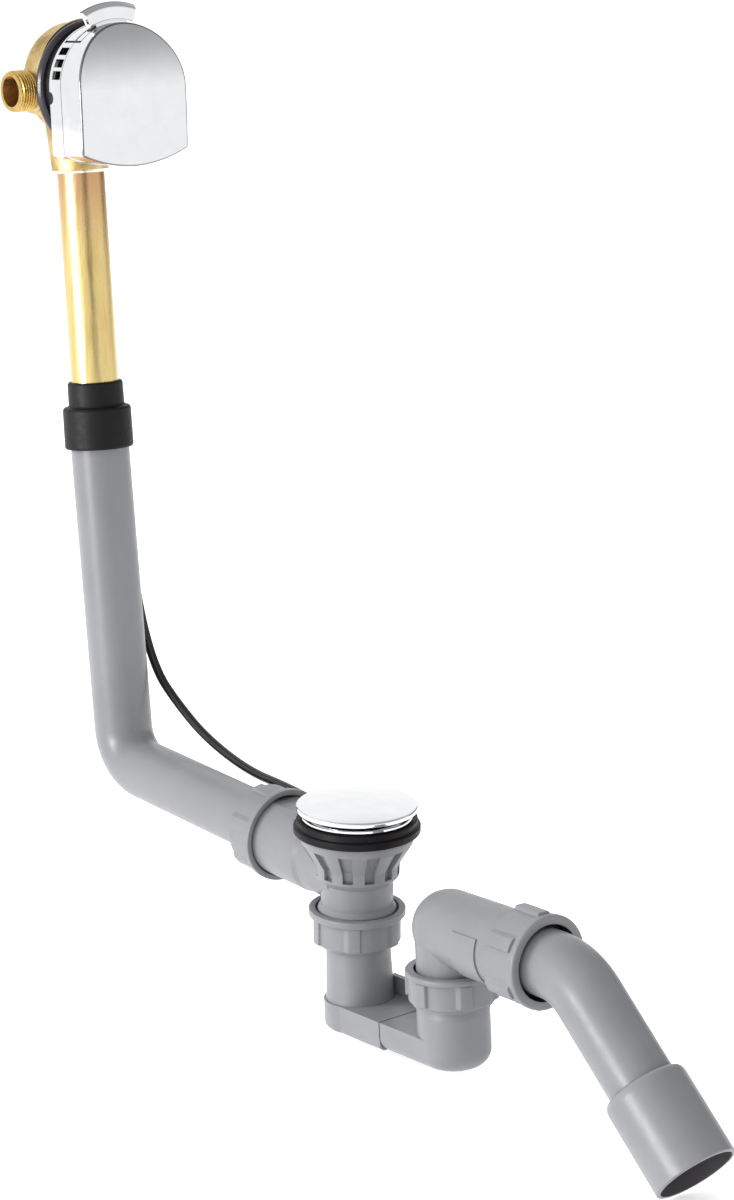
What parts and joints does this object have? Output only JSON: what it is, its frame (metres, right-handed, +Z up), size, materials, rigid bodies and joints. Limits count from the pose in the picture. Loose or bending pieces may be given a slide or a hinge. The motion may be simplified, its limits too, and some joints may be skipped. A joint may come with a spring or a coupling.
{
  "type": "bath waste and overflow",
  "caption": "Bath waste and overflow: lever head with filler outlet, leaning overflow pipe, cable-worked plug, flat trap and sloping outlet pipe.",
  "frame": {"origin": "on the axis of the waste, at the top face of the seal that presses against the underside of the tub", "axes": "+Z up, +X from the overflow end of the tub towards the waste and its outlet, +Y the side on which the cable runs"},
  "size_m": [0.634, 0.0907, 0.6166],
  "materials": {
    "chrome_plate": "polished",
    "cast_brass": "as cast, slightly rough",
    "brass_tube": "drawn, semi bright",
    "screw_steel": "zinc plated",
    "grey_plastic": "satin, moulded",
    "black_plastic": "moulded",
    "black_rubber": "smooth",
    "white_plastic": "moulded",
    "cable_black": "smooth",
    "wire_steel": "drawn"
  },
  "bodies": {
    "fixed": {"overflow_body": "cast_brass", "overflow_tube": "brass_tube", "braze_fillet": "brass_tube", "wall_gasket": "black_rubber", "clamp_flange": "black_plastic", "clamp_screws": "screw_steel", "overflow_rosette": "chrome_plate", "overflow_cover": "chrome_plate", "filler_insert": "white_plastic", "spigot_o_ring": "black_rubber", "cover_screw": "screw_steel", "overflow_pipe": "grey_plastic", "reducer_sleeve": "black_rubber", "branch_nut": "grey_plastic", "waste_body": "grey_plastic", "branch_cone_seal": "black_rubber", "rocker_seal": "black_rubber", "rocker_housing_cover": "grey_plastic", "housing_screws": "screw_steel", "waste_seal": "black_rubber", "waste_flange": "chrome_plate", "flange_gasket": "black_rubber", "flange_screws": "screw_steel", "inlet_nut": "grey_plastic", "trap_inlet_half": "grey_plastic", "trap_outlet_half": "grey_plastic", "trap_joint_seal": "black_rubber", "inlet_cone_seal": "black_rubber", "outlet_elbow": "grey_plastic", "outlet_nut": "grey_plastic", "outlet_cone_seal": "black_rubber", "bend_nut": "grey_plastic", "bend_pipe": "grey_plastic", "bend_cone_seal": "black_rubber", "end_sleeve": "grey_plastic", "cable_sheath": "cable_black", "cable_wire": "wire_steel"},
    "lever": {"lever_handle": "chrome_plate", "cable_drum": "black_plastic"},
    "rocker": {"rocker_shaft": "screw_steel", "rocker_crank": "white_plastic"},
    "plug": {"plug_cap": "chrome_plate", "plug_seal": "black_rubber", "plug_stem": "brass_tube", "stem_locknut": "brass_tube"}
  },
  "joints": [
    {"name": "lever_turn", "type": "hinge", "parent": "fixed", "child": "lever", "pos_m": [-0.25244, 0.00371, 0.42027], "axis": [-0.9981, 0, -0.061], "range_deg": [0, 45]},
    {"name": "rocker_turn", "type": "hinge", "parent": "fixed", "child": "rocker", "pos_m": [-0.016, 0, -0.0275], "axis": [0, -1, 0], "range_deg": [0, 36]},
    {"name": "plug_lift", "type": "slide", "parent": "fixed", "child": "plug", "axis": [0, 0, 1], "range_m": [0, 0.0104]}
  ],
  "couplings": [
    {"joint": "rocker_turn", "follows": "lever_turn", "ratio": 0.7999},
    {"joint": "plug_lift", "follows": "lever_turn", "m_per_rad": 0.01324}
  ]
}
